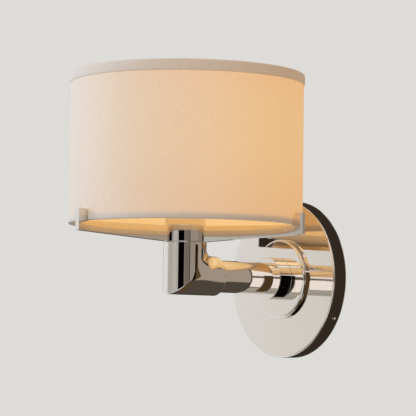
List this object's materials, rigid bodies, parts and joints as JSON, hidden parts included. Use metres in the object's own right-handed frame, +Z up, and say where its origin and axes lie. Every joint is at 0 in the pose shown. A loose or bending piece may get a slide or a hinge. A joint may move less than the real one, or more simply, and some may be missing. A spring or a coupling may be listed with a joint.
{
  "type": "fabric shade wall light",
  "caption": "Wall light with a linen drum shade on a three armed holder, carried by a polished nickel elbow, tube and round backplate.",
  "frame": {"origin": "centre of the round wall face, at the middle of the two box screw slots", "axes": "+Y into the wall, -Y out into the room, +Z up, +X to the right as seen from the room"},
  "size_m": [0.185, 0.2124, 0.2213],
  "materials": {
    "polished_nickel": "polished nickel plate, warm white mirror",
    "zinc_steel": "zinc plated steel",
    "green_screw": "green dyed zinc",
    "socket_paper": "insulating fibre sleeve",
    "phenolic": "black moulded phenolic",
    "brass_shell": "stamped brass",
    "tin_contact": "soldered tip",
    "black_glass": "black vitrite",
    "bulb_cap_metal": "rolled thread cap",
    "frosted_glass": "inside frosted glass",
    "linen": "plain weave ivory linen",
    "shade_lining": "translucent white styrene",
    "binding_tape": "folded linen binding",
    "white_wire": "white coated wire"
  },
  "bodies": {
    "bracket": {"wall_ring": "zinc_steel", "ground_screw": "green_screw", "backplate": "polished_nickel", "backplate_set_screws": "polished_nickel", "boss_plate": "polished_nickel", "collar": "polished_nickel", "arm_tube": "polished_nickel", "arm_rod": "zinc_steel", "arm_washer": "zinc_steel", "arm_nut": "zinc_steel", "elbow": "polished_nickel", "shade_holder": "polished_nickel", "hub_rod": "zinc_steel", "hub_nut": "zinc_steel", "socket_cap": "polished_nickel", "socket_shell": "polished_nickel", "socket_sleeve": "socket_paper", "socket_base": "phenolic", "socket_screw_shell": "brass_shell", "socket_contact": "brass_shell"},
    "shade": {"shade_linen": "linen", "shade_liner": "shade_lining", "shade_top_binding": "binding_tape", "shade_bottom_hem": "binding_tape", "shade_top_wire": "white_wire", "shade_bottom_wire": "white_wire"},
    "bulb": {"bulb_contact": "tin_contact", "bulb_insulator": "black_glass", "bulb_cap": "bulb_cap_metal", "bulb_glass": "frosted_glass"}
  },
  "joints": [
    {"name": "shade_lift", "type": "slide", "parent": "bracket", "child": "shade", "axis": [0, 0, 1], "range_m": [0, 0.12]},
    {"name": "bulb_turn", "type": "hinge", "parent": "bracket", "child": "bulb", "pos_m": [0, -0.1126, 0.07], "axis": [0, 0, 1], "continuous": true}
  ]
}
